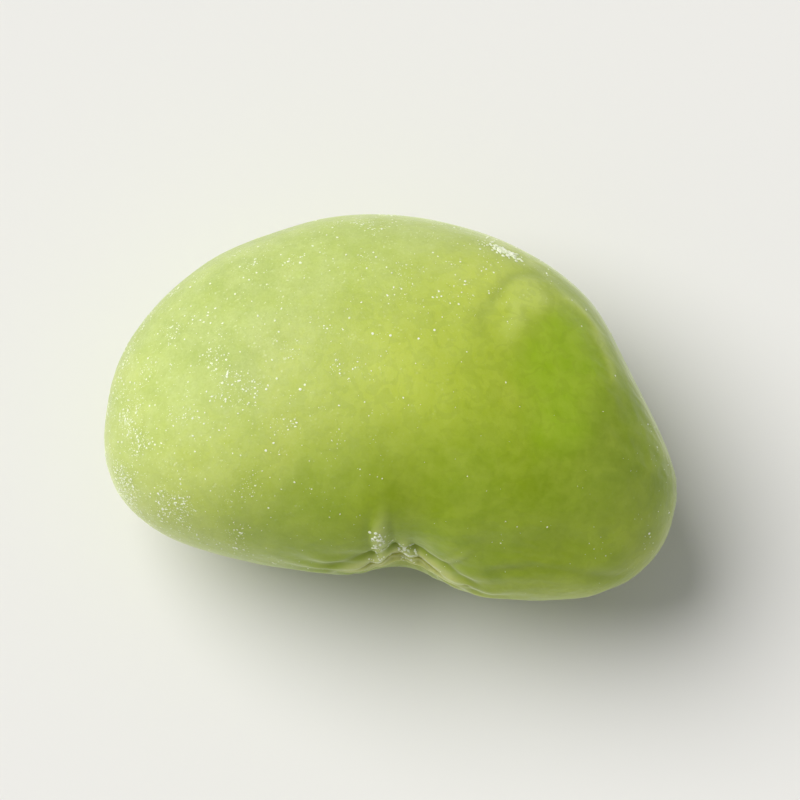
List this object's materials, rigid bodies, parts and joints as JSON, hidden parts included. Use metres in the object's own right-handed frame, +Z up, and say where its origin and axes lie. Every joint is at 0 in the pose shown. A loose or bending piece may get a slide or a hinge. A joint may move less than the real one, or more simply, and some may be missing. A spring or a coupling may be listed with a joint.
{
  "type": "shelled edamame bean",
  "caption": "Shelled green soybean, a kidney-shaped seed with a notched hilum side, a root ridge and a pressed shoulder, lying on its broad side.",
  "frame": {"origin": "under the middle of the bean's bounding box, on the surface that the bean lies on", "axes": "+X along the bean toward the end that holds the young root, +Y toward the rounded back, with the notched hilum side at -Y, +Z up through the broad sides"},
  "size_m": [0.016, 0.0104, 0.0082],
  "materials": {
    "bean_skin": "satin"
  },
  "bodies": {
    "root": {"edamame_bean": "bean_skin"}
  },
  "joints": []
}
